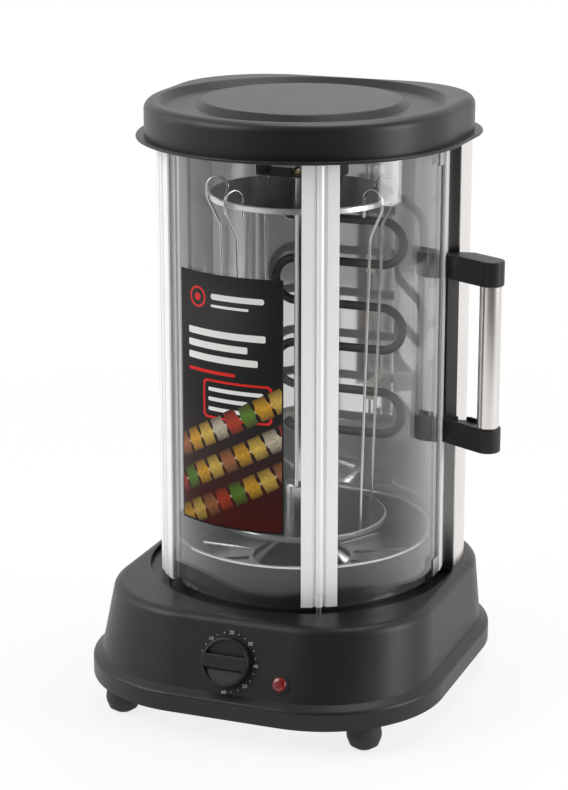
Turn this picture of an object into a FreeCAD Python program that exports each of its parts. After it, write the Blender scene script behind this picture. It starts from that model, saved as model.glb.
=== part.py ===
"""Vertical electric skewer grill: glass cooking cylinder on a base with timer, motor and heater."""
import FreeCAD, Part
import math
import os
import Sketcher
from FreeCAD import Placement, Rotation, Vector
from types import SimpleNamespace

# Frame: the origin is where the turning axis meets the standing plane, +Z is up and the
# control panel faces -Y. Angles round the axis are counted from -Y towards +X, in degrees.

SIZES = [
    # alias, value in mm or degrees, what it is
    ("fit_gap", 0.3, "space between neighbours that are put together by hand"),
    ("running_gap", 0.05, "radial space of a shaft in its bore"),
    ("sheet", 1.2, "thickness of the painted sheet of base, lid and side posts"),
    ("thin_sheet", 0.8, "thickness of the bright sheet of cover, reflector and tray"),
    ("foot_height", 24, "standing plane to the bottom plate"),
    ("foot_radius", 13.5, "largest radius of a rubber foot"),
    ("foot_across", 98, "feet from the middle, sideways"),
    ("foot_inset", 38, "feet from the front and the back edge of the skirt"),
    ("skirt_low", 22, "lower edge of the base skirt"),
    ("skirt_high", 36, "where the skirt starts to turn in"),
    ("ledge_high", 40, "where the sloping body starts"),
    ("base_top", 92, "top plane of the base"),
    ("recess_depth", 4, "depth of the round recess in the base top"),
    ("recess_over", 7, "edge of that recess outside the edge profiles"),
    ("recess_back", 22, "how far behind the axis that radius reaches"),
    ("chamber_inset", 7, "recess inside the housing, in from the profiles' outer face"),
    ("skirt_half_width", 140, "half width of the skirt"),
    ("skirt_front", 166, "skirt in front of the turning axis"),
    ("skirt_back", 135, "skirt behind the turning axis"),
    ("skirt_corner", 96, "corner radius of the skirt"),
    ("ledge_width", 7, "how far the body stands in from the skirt"),
    ("side_draft", 6, "how far the sides lean in up to the top"),
    ("back_draft", 4, "how far the back leans in up to the top"),
    ("front_draft", 21, "how far the control panel leans back up to the top"),
    ("corner_draft", 9, "how much tighter the corners get up to the top"),
    ("shoulder_round", 8, "rounding between body and top"),
    ("skirt_round", 3, "rounding between skirt and ledge"),
    ("pillar_across", 70, "threaded pillars from the middle, sideways and lengthways"),
    ("pillar_radius", 5, "radius of a pillar"),
    ("glass_inset", 1.5, "panes inside the outer face of the profiles"),
    ("glass_thick", 3, "thickness of the panes"),
    ("pane_low", 94, "lower edge of the panes"),
    ("profile_radius", 112, "outer radius of the aluminium edge profiles"),
    ("profile_thick", 6, "thickness of the edge profiles"),
    ("leaf_width", 13.8, "width of one edge profile"),
    ("slot_depth", 6, "depth of the slot that holds the glass"),
    ("slot_play", 0.15, "space beside the glass in its slot"),
    ("post_inset", 2.4, "hinge posts inside the outer face of the profiles"),
    ("post_radius", 2, "radius of a hinge post"),
    ("barrel_wall", 0.95, "wall of the hinge barrels"),
    ("barrel_low", 104, "height where the door's barrel starts"),
    ("web_drop", 1.5, "step beside the barrel that lets the leaves fold"),
    ("web_width", 5.2, "width of that step"),
    ("left_seam", 49.2, "left hinge post, degrees left of the front"),
    ("right_seam", 27.4, "right hinge post, degrees right of the front"),
    ("housing_edge", 101.5, "front edge of the rear housing, degrees from the front"),
    ("flange_inset", 8, "side post's front flange inside the outer face of the profiles"),
    ("housing_over", 6.5, "sides of the housing outside the edge profiles"),
    ("housing_bend", 41, "how far behind the axis the housing turns in"),
    ("housing_corner", 74, "corner radius of the housing's back"),
    ("post_side_leg", 12, "side leg of a side post inside the cover"),
    ("mirror_front_inset", 14, "first fold of the reflector in from the profiles' outer face"),
    ("mirror_front_fold", 58, "first fold of the reflector behind the axis"),
    ("mirror_middle_half", 75, "half width of the reflector at its second fold"),
    ("mirror_middle_fold", 85, "second fold of the reflector behind the axis"),
    ("mirror_rear_half", 40, "half width of the reflector's flat back"),
    ("mirror_back", 105, "reflector's flat back behind the axis"),
    ("cover_screw_across", 30, "screws of the rear cover from the middle"),
    ("cover_screw_inset", 40, "screws of the rear cover from its upper and lower edge"),
    ("lid_top", 460, "top of the lid"),
    ("lid_drop", 28.3, "lower edge of the lid below its top"),
    ("plate_drop", 22, "underside of the top plate below the lid's top"),
    ("lid_over", 7.5, "lid wall outside the edge profiles"),
    ("lid_flange", 6.3, "width of the rolled flange round the lid"),
    ("flange_thick", 2.4, "height of that rolled flange"),
    ("lid_round", 7, "rounding between lid wall and top"),
    ("crest_width", 10.5, "raised ring on the lid, from the lid wall inwards"),
    ("groove_width", 33.5, "width of the ring groove in the lid, at its top"),
    ("groove_depth", 5, "depth of the ring groove in the lid"),
    ("groove_slope", 5, "width of the groove's sloping sides"),
    ("door_top_gap", 1.3, "door below the lid"),
    ("motor_radius", 24, "radius of the gear motor"),
    ("motor_height", 18, "height of the gear motor"),
    ("shaft_radius", 3.5, "radius of the motor shaft"),
    ("bush_height", 4, "bush flange above the chamber floor"),
    ("drive_radius", 9, "radius of the drive tube"),
    ("spindle_radius", 6, "radius of the spindle"),
    ("spindle_foot", 108.5, "lower end of the spindle"),
    ("lower_disc_level", 132, "underside of the lower skewer disc"),
    ("lower_disc_radius", 67, "radius of the lower skewer disc"),
    ("upper_disc_drop", 72, "underside of the upper skewer disc below the lid's top"),
    ("upper_disc_radius", 71, "radius of the upper skewer disc"),
    ("disc_rim", 3, "turned-down rim of the discs"),
    ("collar_radius", 13.5, "radius of the lower collar"),
    ("collar_height", 24, "height of the lower collar"),
    ("bracket_drop", 58, "underside of the upper bearing bracket below the lid's top"),
    ("bracket_half", 32, "half length of the upper bearing bracket"),
    ("bracket_width", 30, "width of the upper bearing bracket"),
    ("bracket_foot", 12, "foot of the upper bearing bracket"),
    ("skewer_count", 7, "number of skewers"),
    ("skewer_phase", -81, "first skewer, degrees from the front"),
    ("skewer_radius", 1.1, "radius of the skewer wire"),
    ("skewer_hole", 1.5, "radius of the skewer holes in the discs"),
    ("hook_ring", 58, "skewer holes in the upper disc from the axis"),
    ("foot_ring", 57, "skewer holes in the lower disc from the axis"),
    ("hook_play", 2.4, "space between a hook's outer leg and the upper disc"),
    ("hook_tip", 9, "end of a hook below the upper disc's rim"),
    ("hook_kink", 6, "kink of a skewer outside its hook's inner leg"),
    ("hook_slant", 24, "that kink below the upper disc's rim"),
    ("tray_gap", 3.5, "rim of the drip tray inside the edge profiles"),
    ("tray_high", 122.6, "rim height of the drip tray"),
    ("tray_floor", 95, "height of the tray's raised floor"),
    ("tray_gutter", 14.5, "raised floor of the tray inside its rim"),
    ("drive_clearance", 2.5, "space between the drive tube and the tray's hole"),
    ("tray_cone", 38, "foot radius of the tray's middle cone"),
    ("tray_cone_high", 112, "height of the tray's middle cone"),
    ("tray_ribs", 12, "number of ribs in the tray"),
    ("heater_back", 84, "heater behind the axis"),
    ("heater_tube", 3.5, "radius of the heater tube"),
    ("heater_half", 54, "half width of the heater, on its centre line"),
    ("heater_high", 351.5, "highest heater row"),
    ("heater_pitch", 35.1, "distance of the heater rows"),
    ("heater_rows", 6, "number of heater rows"),
    ("heater_bend", 8, "bend radius where the heater leaves through the reflector"),
    ("heater_end", 108, "heater ends behind the axis"),
    ("ceramic_radius", 7, "radius of the ceramic bushes"),
    ("knob_radius", 18.6, "radius of the timer knob"),
    ("knob_height", 7, "height of the timer knob"),
    ("knob_across", -1.8, "knob right of the middle"),
    ("knob_level", 61.4, "height of the knob's centre on the panel"),
    ("lamp_across", 41, "lamp right of the middle"),
    ("lamp_level", 51.5, "height of the lamp on the panel"),
    ("lens_radius", 5.5, "radius of the lamp lens"),
    ("timer_half", 20, "half width of the timer"),
    ("timer_depth", 30, "depth of the timer"),
    ("dial_shaft_radius", 3, "radius of the timer shaft"),
    ("handle_turn", 62.5, "direction of the handle arms, degrees from the front"),
    ("handle_root", 102.9, "where the arms meet the door, degrees from the front"),
    ("handle_reach", 45.3, "handle bar from the door's face"),
    ("handle_width", 18, "width of the handle arms"),
    ("arm_height", 19.3, "height of a handle arm"),
    ("arm_pocket", 3, "depth of the pocket in the grip side of an arm"),
    ("grip_low", 217, "lower end of the free grip"),
    ("grip_high", 327.2, "upper end of the free grip"),
    ("grip_radius", 8.4, "radius of the handle bar"),
    ("grip_socket", 6, "depth of the bar in each arm"),
    ("back_plate_depth", 9.3, "depth of the plate between the arms"),
    ("inlet_across", 34, "cord inlet left of the middle, seen from the front"),
    ("inlet_level", 62, "height of the cord inlet"),
    ("inlet_bore", 3.6, "bore radius of the cord bush"),
    ("screw_radius", 2, "radius of the screws"),
    ("head_radius", 3.6, "radius of the screw heads"),
    ("head_height", 2.2, "height of the screw heads"),
]

doc = FreeCAD.newDocument("SkewerGrill")
sheet = doc.addObject("Spreadsheet::Sheet", "Sizes")
for row, (alias, amount, note) in enumerate(SIZES, 1):
    sheet.set("A%d" % row, alias)
    sheet.set("B%d" % row, str(amount))
    sheet.set("C%d" % row, note)
    sheet.setAlias("B%d" % row, alias)
doc.recompute()
v = SimpleNamespace(**{alias: float(sheet.get(alias)) for alias, amount, note in SIZES})

UP = Vector(0, 0, 1)
ROUGH_RADIUS = 20.0  # a sketch's corners start on such a circle before they are bound
parts = []
machine_screws = []
threaded_pillars = []

# ---- values that follow from the sizes -------------------------------------------------

floor_top = v.base_top - v.recess_depth
floor_under = floor_top - v.sheet
plate_top = v.foot_height + v.sheet
lid_low = v.lid_top - v.lid_drop
top_plate_low = v.lid_top - v.plate_drop
upper_disc_level = v.lid_top - v.upper_disc_drop
bracket_level = v.lid_top - v.bracket_drop
door_high = lid_low - v.door_top_gap
fixed_high = top_plate_low - v.fit_gap
profile_inner = v.profile_radius - v.profile_thick
glass_radius = v.profile_radius - v.glass_inset
glass_inner = glass_radius - v.glass_thick
hinge_ring = v.profile_radius - v.post_inset
flange_inner = v.profile_radius - v.flange_inset
tray_radius = profile_inner - v.tray_gap
recess_radius = v.profile_radius + v.recess_over
chamber_radius = v.profile_radius - v.chamber_inset
housing_side = v.profile_radius + v.housing_over
mirror_front_half = v.profile_radius - v.mirror_front_inset
lid_radius = v.profile_radius + v.lid_over
crest_radius = lid_radius - v.crest_width
plateau_radius = crest_radius - v.groove_width
tray_step = tray_radius - v.tray_gutter
barrel_radius = v.post_radius + v.running_gap + v.barrel_wall
body_front = v.skirt_front - v.ledge_width
panel_rise = v.base_top - v.ledge_high
panel_lean = math.degrees(math.atan2(v.front_draft, panel_rise))
back_lean = math.degrees(math.atan2(v.back_draft, panel_rise))


# ---- small geometry helpers ------------------------------------------------------------

def polar(radius, degrees, height=0.0):
    """Point at this radius and this angle from the front (-Y) towards +X."""
    turn = math.radians(degrees)
    return Vector(radius * math.sin(turn), -radius * math.cos(turn), height)


def arc_degrees(length, radius=None):
    """Angle that an arc of this length spans on the profiles' outer face."""
    return math.degrees(length / (radius or v.profile_radius))


def cylinder(radius, low, high, x=0.0, y=0.0):
    return Part.makeCylinder(radius, high - low, Vector(x, y, low), UP)


def rod(radius, start, end):
    return Part.makeCylinder(radius, (end - start).Length, start, end - start)


def block(x0, x1, y0, y1, z0, z1):
    return Part.makeBox(x1 - x0, y1 - y0, z1 - z0, Vector(x0, y0, z0))


def polygon_face(points):
    return Part.Face(Part.makePolygon(list(points) + [points[0]]))


def prism(points, low, high):
    """Upright prism over a list of points in the plane."""
    flat = [Vector(point.x, point.y, low) for point in points]
    return polygon_face(flat).extrude(Vector(0, 0, high - low))


def turned(section):
    """Solid turned about the Z axis from (radius, height) corners."""
    corners = [Vector(radius, 0, height) for radius, height in section]
    return polygon_face(corners).revolve(Vector(0, 0, 0), UP, 360)


def sector(inner, outer, start, end, low, high):
    """Piece of a ring between two angles."""
    middle = (start + end) / 2
    outside = Part.Arc(polar(outer, start, low), polar(outer, middle, low), polar(outer, end, low))
    inside = Part.Arc(polar(inner, end, low), polar(inner, middle, low), polar(inner, start, low))
    sides = [Part.LineSegment(polar(outer, end, low), polar(inner, end, low)),
             Part.LineSegment(polar(inner, start, low), polar(outer, start, low))]
    wire = Part.Wire([outside.toShape(), sides[0].toShape(), inside.toShape(), sides[1].toShape()])
    return Part.Face(wire).extrude(Vector(0, 0, high - low))


def hull_wire(circles, height):
    """Outline round a convex ring of circles (x, y, radius), counter-clockwise."""
    normals = []
    for (x0, y0, r0), (x1, y1, r1) in zip(circles, circles[1:] + circles[:1]):
        along = Vector(x1 - x0, y1 - y0, 0)
        share = (r0 - r1) / along.Length
        along.normalize()
        side = Vector(along.y, -along.x, 0)
        normals.append(along * share + side * math.sqrt(1 - share * share))
    edges = []
    for index, (x, y, radius) in enumerate(circles):
        centre = Vector(x, y, height)
        first, last = normals[index - 1], normals[index]
        start = math.atan2(first.y, first.x)
        sweep = (math.atan2(last.y, last.x) - start) % (2 * math.pi)
        middle = Vector(math.cos(start + sweep / 2), math.sin(start + sweep / 2), 0)
        tip = centre + last * radius
        edges.append(Part.Arc(centre + first * radius, centre + middle * radius, tip).toShape())
        x1, y1, r1 = circles[(index + 1) % len(circles)]
        edges.append(Part.makeLine(tip, Vector(x1, y1, height) + last * r1))
    return Part.Wire(edges)


def hull_prism(circles, low, high):
    return Part.Face(hull_wire(circles, low)).extrude(Vector(0, 0, high - low))


def hull_loft(lower, low, upper, high):
    return Part.makeLoft([hull_wire(lower, low), hull_wire(upper, high)], True, True)


def grown(circles, amount):
    return [(x, y, radius + amount) for x, y, radius in circles]


def edges_at(shape, height):
    """Edges that lie wholly at one height."""
    box_ends = [(edge, edge.BoundBox) for edge in shape.Edges]
    return [edge for edge, box in box_ends
            if abs(box.ZMin - height) < 1e-4 and abs(box.ZMax - height) < 1e-4]


def meeting_point(point, along, other, other_along):
    """Where two lines in the plane meet."""
    cross = along.x * other_along.y - along.y * other_along.x
    offset = other - point
    share = (offset.x * other_along.y - offset.y * other_along.x) / cross
    return point + along * share


def offset_path(points, distance):
    """The same bent line moved to its left by this distance."""
    lines = []
    for start, end in zip(points, points[1:]):
        along = (end - start).normalize()
        lines.append((start + Vector(-along.y, along.x, 0) * distance, along))
    moved = [lines[0][0]]
    for (start, along), (other, other_along) in zip(lines, lines[1:]):
        moved.append(meeting_point(start, along, other, other_along))
    end_along = lines[-1][1]
    moved.append(points[-1] + Vector(-end_along.y, end_along.x, 0) * distance)
    return moved


def bent_sheet(points, thickness, low, high):
    """Folded upright sheet; its thickness lies left of the line."""
    return prism(points + offset_path(points, thickness)[::-1], low, high)


def rounded_path(points, radii):
    """Wire through the points with a tangent arc at each inner corner."""
    edges = []
    start = points[0]
    for before, corner, after, radius in zip(points, points[1:], points[2:], radii):
        back = (before - corner).normalize()
        ahead = (after - corner).normalize()
        half = back.getAngle(ahead) / 2
        reach = radius / math.tan(half)
        centre = corner + (back + ahead).normalize() * (radius / math.sin(half))
        middle = centre + (corner - centre).normalize() * radius
        first, last = corner + back * reach, corner + ahead * reach
        edges.append(Part.makeLine(start, first))
        edges.append(Part.Arc(first, middle, last).toShape())
        start = last
    edges.append(Part.makeLine(start, points[-1]))
    return Part.Wire(edges)


def tube_along(wire, radius):
    """Round rod swept along a wire."""
    start = wire.Edges[0].valueAt(wire.Edges[0].FirstParameter)
    along = wire.Edges[0].tangentAt(wire.Edges[0].FirstParameter)
    ring = Part.Wire([Part.Circle(start, along, radius).toShape()])
    return wire.makePipeShell([ring], True, True)


def mirrored(shape):
    return shape.mirror(Vector(0, 0, 0), Vector(1, 0, 0))


def screw(tip, head):
    """Round-headed screw from the tip of its shank to the underside of its head."""
    out = (head - tip).normalize()
    crown_end = head + out * v.head_height
    crown = rod(v.head_radius, head, crown_end)
    rim = [edge for edge in round_edges_of(crown, v.head_radius)
           if (edge.Curve.Center - crown_end).Length < 1e-6]
    crown = crown.makeFillet(v.head_height * 0.45, rim)
    return crown.fuse(rod(v.screw_radius, tip, head + out * 0.2))


def round_edges_of(shape, radius):
    """Circular edges of this radius."""
    circles = [edge for edge in shape.Edges if hasattr(edge.Curve, "Radius")]
    return [edge for edge in circles if abs(edge.Curve.Radius - radius) < 1e-4]


# ---- document helpers ------------------------------------------------------------------

def add_shape(label, shape, placement=None):
    """Sub-part whose shape is worked out from the sheet's values."""
    item = doc.addObject("Part::Feature", label)
    item.Label = label
    item.Shape = shape.removeSplitter() if shape.ShapeType != "Compound" else shape
    if placement:
        item.Placement = placement
    parts.append(item)
    return item


def add_group(label, solids, placement=None):
    """Several separate solids that share one node."""
    return add_shape(label, Part.makeCompound(solids), placement)


def new_body(label):
    body = doc.addObject("PartDesign::Body", label)
    body.Label = label
    return body


def new_sketch(body, name, role):
    sketch = body.newObject("Sketcher::SketchObject", name)
    plane = [item for item in body.Origin.OriginFeatures if item.Role == role][0]
    sketch.AttachmentSupport = [(plane, "")]
    sketch.MapMode = "FlatFace"
    return sketch


def bind(sketch, kind, vertex, start, formula):
    """Tie one coordinate of a vertex to a formula on the sheet's cells."""
    number = sketch.addConstraint(Sketcher.Constraint(kind, -1, 1, vertex, 1, start))
    sketch.setExpression("Constraints[%d]" % number, formula)


def turned_body(label, section):
    """PartDesign body turned about Z; section holds (radius, height) formulas."""
    body = new_body(label)
    sketch = new_sketch(body, label + "_section", "XZ_Plane")
    count = len(section)
    middle = Vector(2 * ROUGH_RADIUS, 2 * ROUGH_RADIUS, 0)
    rough = [middle + polar(ROUGH_RADIUS, 360.0 * index / count) for index in range(count)]
    for index in range(count):
        sketch.addGeometry(Part.LineSegment(rough[index], rough[(index + 1) % count]))
    for index in range(count):
        sketch.addConstraint(Sketcher.Constraint("Coincident", index, 2, (index + 1) % count, 1))
    for index, (radius, height) in enumerate(section):
        if radius == "0":
            sketch.addConstraint(Sketcher.Constraint("PointOnObject", index, 1, -2))
        else:
            bind(sketch, "DistanceX", index, rough[index].x, sized(radius))
        if height == "0":
            sketch.addConstraint(Sketcher.Constraint("PointOnObject", index, 1, -1))
        else:
            bind(sketch, "DistanceY", index, rough[index].y, sized(height))
    spin = body.newObject("PartDesign::Revolution", label + "_turn")
    spin.Profile = sketch
    spin.ReferenceAxis = (sketch, ["V_Axis"])
    spin.Angle = 360
    sketch.Visibility = False
    doc.recompute()
    parts.append(body)
    return body


def sized(formula):
    """Prefix every alias in a formula with the sheet's name."""
    words = formula.split(" ")
    return " ".join("Sizes." + word if word[0].isalpha() else word for word in words)


def round_ring(body, ring_radius, radius_formula):
    """Fillet the circular edges of one radius on a body's tip."""
    base = body.Tip
    ring = [edge.hashCode() for edge in round_edges_of(base.Shape, ring_radius)]
    names = ["Edge%d" % (index + 1) for index, edge in enumerate(base.Shape.Edges)
             if edge.hashCode() in ring]
    fillet = body.newObject("PartDesign::Fillet", body.Label + "_round")
    fillet.Base = (base, names)
    fillet.setExpression("Radius", sized(radius_formula))
    body.Tip = fillet
    doc.recompute()


def ring_of_holes(body, ring, radius, count, phase):
    """Round holes through a turned body, spaced evenly about its axis."""
    sketch = new_sketch(body, body.Label + "_hole", "XY_Plane")
    sketch.AttachmentOffset = Placement(Vector(0, 0, 0), Rotation(UP, phase - 90))
    sketch.addGeometry(Part.Circle(Vector(ROUGH_RADIUS, 0, 0), UP, 1))
    sketch.addConstraint(Sketcher.Constraint("PointOnObject", 0, 3, -1))
    place = sketch.addConstraint(Sketcher.Constraint("DistanceX", -1, 1, 0, 3, ROUGH_RADIUS))
    sketch.setExpression("Constraints[%d]" % place, sized(ring))
    wide = sketch.addConstraint(Sketcher.Constraint("Radius", 0, 1))
    sketch.setExpression("Constraints[%d]" % wide, sized(radius))
    pocket = body.newObject("PartDesign::Pocket", body.Label + "_pocket")
    pocket.Profile = sketch
    pocket.Type = "ThroughAll"
    pocket.Midplane = True
    pattern = body.newObject("PartDesign::PolarPattern", body.Label + "_holes")
    pattern.Originals = [pocket]
    pattern.Axis = (sketch, ["N_Axis"])
    pattern.Angle = 360
    pattern.setExpression("Occurrences", sized(count))
    body.Tip = pattern
    doc.recompute()


def panel_placement(across, level):
    """Placement on the control panel: local Z points out of it, local X to the right."""
    depth = body_front - (level - v.ledge_high) * v.front_draft / panel_rise
    return Placement(Vector(across, -depth, level), Rotation(Vector(1, 0, 0), 90 - panel_lean))


def back_placement(across, level):
    """Placement on the back wall of the base: local Z points out of it."""
    depth = v.skirt_back - v.ledge_width - (level - v.ledge_high) * v.back_draft / panel_rise
    return Placement(Vector(across, depth, level), Rotation(Vector(1, 0, 0), back_lean - 90))


def in_place(shape, placement):
    moved = shape.copy()
    moved.Placement = placement
    return moved


# ---- base ------------------------------------------------------------------------------

def corner_circles(half_width, front, back, corner):
    x, y0, y1 = half_width - corner, corner - front, back - corner
    return [(-x, y0, corner), (x, y0, corner), (x, y1, corner), (-x, y1, corner)]


def skirt_circles(inset=0.0):
    return grown(corner_circles(v.skirt_half_width, v.skirt_front, v.skirt_back, v.skirt_corner),
                 -inset)


def body_circles(height, inset=0.0):
    """Outline of the sloping body at one height."""
    share = (height - v.ledge_high) / panel_rise
    side, front, back = v.side_draft * share, v.front_draft * share, v.back_draft * share
    width = v.skirt_half_width - v.ledge_width
    corner = v.skirt_corner - v.ledge_width - share * v.corner_draft
    return grown(corner_circles(width - side, body_front - front,
                                v.skirt_back - v.ledge_width - back, corner), -inset)


def base_block(inset):
    """Solid of the whole base, each face moved in by the same amount."""
    low = v.skirt_low - (1 if inset else 0)
    bend, foot, top = v.skirt_high - inset, v.ledge_high - inset, v.base_top - inset
    skirt = hull_prism(skirt_circles(inset), low, bend)
    ledge = hull_loft(skirt_circles(inset), bend, body_circles(foot, inset), foot)
    body = hull_loft(body_circles(foot, inset), foot, body_circles(top, inset), top)
    body = body.makeFillet(v.shoulder_round - inset, edges_at(body, top))
    block_shape = skirt.fuse([ledge, body]).removeSplitter()
    return block_shape.makeFillet(v.skirt_round - inset, edges_at(block_shape, bend))


def recess_block(grow, low):
    """Recess of the base top: wide round the panes, narrower inside the housing."""
    back, reach = v.recess_back + grow, recess_radius + v.skirt_back
    wide = cylinder(recess_radius + grow, low, v.base_top + 1)
    wide = wide.cut(block(-reach, reach, back, reach, low - 1, v.base_top + 2))
    return wide.fuse(cylinder(chamber_radius + grow, low, v.base_top + 1))


def base_shell():
    """Pressed shell with the round recess and the openings of its fittings."""
    hollow = base_block(v.sheet).cut(recess_block(v.sheet, floor_under))
    shell = base_block(0.0).cut(recess_block(0.0, floor_top)).cut(hollow)
    lip = [edge for edge in round_edges_of(shell, recess_radius)
           if abs(edge.Curve.Center.z - v.base_top) < 1e-4]
    shell = shell.makeFillet(v.sheet * 0.9, lip)
    holes = [cylinder(bush_neck() + v.fit_gap, floor_under - 1, floor_top + 1)]
    for seam in (-v.left_seam, v.right_seam):
        foot = polar(hinge_ring, seam)
        holes.append(cylinder(v.post_radius + v.running_gap, floor_under - 1, floor_top + 1,
                              foot.x, foot.y))
    reach = 4 * v.sheet
    neck = cylinder(timer_neck() + v.fit_gap, -reach, reach)
    lamp = cylinder(lamp_neck() + v.fit_gap, -reach, reach)
    gland = cylinder(gland_neck() + v.fit_gap, -reach, reach)
    holes.append(in_place(neck, panel_placement(v.knob_across, v.knob_level)))
    holes.append(in_place(lamp, panel_placement(v.lamp_across, v.lamp_level)))
    holes.append(in_place(gland, back_placement(-v.inlet_across, v.inlet_level)))
    for place in motor_screw_places():
        holes.append(cylinder(v.screw_radius + v.running_gap, floor_under - 1, floor_top + 1,
                              place.x, place.y))
    return shell.cut(Part.makeCompound(holes))


def bush_neck():
    return v.shaft_radius + v.running_gap + 2 * v.sheet


def timer_neck():
    return v.dial_shaft_radius + v.running_gap + v.sheet


def gland_neck():
    return v.inlet_bore + 2 * v.sheet


def lamp_neck():
    return v.lens_radius + v.running_gap + v.sheet


def foot_places():
    front = v.foot_inset - v.skirt_front
    back = v.skirt_back - v.foot_inset
    return {"front_left": Vector(-v.foot_across, front, 0),
            "front_right": Vector(v.foot_across, front, 0),
            "rear_left": Vector(-v.foot_across, back, 0),
            "rear_right": Vector(v.foot_across, back, 0)}


def pillar_places():
    return [Vector(x * v.pillar_across, y * v.pillar_across, 0) for x in (-1, 1) for y in (-1, 1)]


def motor_screw_places():
    reach = v.motor_radius + v.head_radius + v.screw_radius
    return [Vector(side * reach, 0, 0) for side in (-1, 1)]


def bottom_plate():
    """Flat plate inside the skirt, with vent slots and screw holes."""
    plate = hull_prism(skirt_circles(v.sheet + v.fit_gap), v.foot_height, plate_top)
    holes = []
    for place in list(foot_places().values()) + pillar_places():
        holes.append(cylinder(v.screw_radius + v.running_gap, v.foot_height - 1, plate_top + 1,
                              place.x, place.y))
    slot_half, slot_wide, slot_pitch = v.motor_radius, v.head_height, 4 * v.head_height
    for number in range(-3, 4):
        y = number * slot_pitch
        for side in (-1, 1):
            x = side * 2 * v.motor_radius
            holes.append(block(x - slot_half / 2, x + slot_half / 2, y - slot_wide / 2,
                               y + slot_wide / 2, v.foot_height - 1, plate_top + 1))
    return plate.cut(Part.makeCompound(holes))


def build_base():
    add_shape("base_shell", base_shell())
    add_shape("bottom_plate", bottom_plate())
    for name, place in foot_places().items():
        foot = turned_body("foot_" + name, [
            ("foot_radius * 0.45", "0"), ("foot_radius * 0.8", "foot_height * 0.13"),
            ("foot_radius", "foot_height * 0.42"), ("foot_radius * 0.9", "foot_height * 0.8"),
            ("foot_radius * 0.8", "foot_height"),
            ("screw_radius + running_gap", "foot_height"),
            ("screw_radius + running_gap", "foot_height * 0.5"),
            ("head_radius + fit_gap", "foot_height * 0.5"), ("head_radius + fit_gap", "0")])
        round_ring(foot, v.foot_radius, "foot_radius * 0.8")
        foot.Placement = Placement(place, Rotation())
        seat = place + UP * (v.foot_height * 0.5 - v.running_gap)
        machine_screws.append(screw(place + UP * (plate_top + 3 * v.sheet), seat))
    machine_screws.extend(screw(p + UP * (plate_top + 5 * v.screw_radius), p + UP * v.foot_height)
                          for p in pillar_places())


# ---- control panel ---------------------------------------------------------------------

def knob():
    """Round knob with a raised grip bar between two slanting hollows and a bore for its shaft."""
    low, high = v.sheet, v.sheet + v.knob_height
    body = turned([(0, low), (v.knob_radius, low), (v.knob_radius, low + 0.7 * v.knob_height),
                   (v.knob_radius * 0.96, high), (0, high)])
    body = body.makeFillet(0.06 * v.knob_radius, edges_at(body, high))
    bar, deep, shallow = v.knob_radius * 0.28, high - 0.5 * v.knob_height, high - v.sheet
    rim = cylinder(v.knob_radius * 0.88, low, high + 1)
    for side in (-1, 1):
        section = [(bar, deep), (v.knob_radius, shallow), (v.knob_radius, high + 1), (bar, high + 1)]
        face = polygon_face([Vector(-v.knob_radius, side * y, z) for y, z in section])
        body = body.cut(face.extrude(Vector(2 * v.knob_radius, 0, 0)).common(rim))
    crown = [edge for edge in edges_at(body, high) if not hasattr(edge.Curve, "Radius")]
    body = body.makeFillet(0.25 * bar, crown)
    bore = cylinder(v.dial_shaft_radius + v.running_gap, low - 1, high - 2 * v.sheet)
    well = cylinder(timer_neck() + 2 * v.sheet + v.fit_gap, low - 1, low + 0.5 * v.sheet)
    return body.cut(bore).cut(well)


def build_controls():
    seat = panel_placement(v.knob_across, v.knob_level)
    add_shape("timer_knob", knob(), seat)
    shaft = turned_body("timer_shaft", [
        ("0", "-1 * timer_depth * 0.5"), ("dial_shaft_radius", "-1 * timer_depth * 0.5"),
        ("dial_shaft_radius", "knob_height * 0.7"), ("0", "knob_height * 0.7")])
    shaft.Placement = seat
    case = block(-v.timer_half, v.timer_half, -v.timer_half, v.timer_half,
                 -v.sheet - v.timer_depth, -v.sheet)
    case = case.fuse(cylinder(timer_neck(), -v.sheet - 1, v.sheet))
    case = case.cut(cylinder(v.dial_shaft_radius + v.running_gap,
                             -v.timer_depth * 0.5 - v.fit_gap, v.sheet + 1))
    add_shape("timer_body", case, seat)
    lamp_seat = panel_placement(v.lamp_across, v.lamp_level)
    lens = turned_body("lamp_lens", [
        ("0", "-1 * sheet"), ("lens_radius", "-1 * sheet"), ("lens_radius", "sheet"),
        ("lens_radius * 0.86", "sheet * 2.1"), ("lens_radius * 0.5", "sheet * 2.8"),
        ("0", "sheet * 3")])
    lens.Placement = lamp_seat
    neck = "lens_radius + running_gap + sheet"
    holder = turned_body("lamp_holder", [
        ("0", "-1 * timer_depth"), ("lens_radius", "-1 * timer_depth"),
        (neck, "-1 * sheet * 3"), (neck, "0"), (neck + " + sheet * 0.7", "0"),
        (neck + " + sheet * 0.7", "sheet * 0.7"), (neck + " + sheet * 0.3", "sheet"),
        ("lens_radius + running_gap", "sheet"),
        ("lens_radius + running_gap", "-1 * sheet - running_gap"),
        ("0", "-1 * sheet - running_gap")])
    holder.Placement = lamp_seat


# ---- electrics in the base -------------------------------------------------------------

def gear_motor():
    """Flat round gear motor with two ears, hung under the chamber floor."""
    low = floor_under - v.motor_height
    can = cylinder(v.motor_radius, low, floor_under)
    can = can.makeFillet(v.sheet, edges_at(can, low))
    for place in motor_screw_places():
        side = math.copysign(1, place.x)
        ear = block(min(0, place.x + side * v.head_radius), max(0, place.x + side * v.head_radius),
                    -v.head_radius - 1, v.head_radius + 1, floor_under - v.sheet, floor_under)
        can = can.fuse(ear)
    for place in motor_screw_places():
        can = can.cut(cylinder(v.screw_radius + v.running_gap, floor_under - 2 * v.sheet,
                               floor_under + 1, place.x, place.y))
    return can.cut(cylinder(v.shaft_radius + v.running_gap, low + v.motor_height * 0.4,
                            floor_under + 1))


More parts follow.
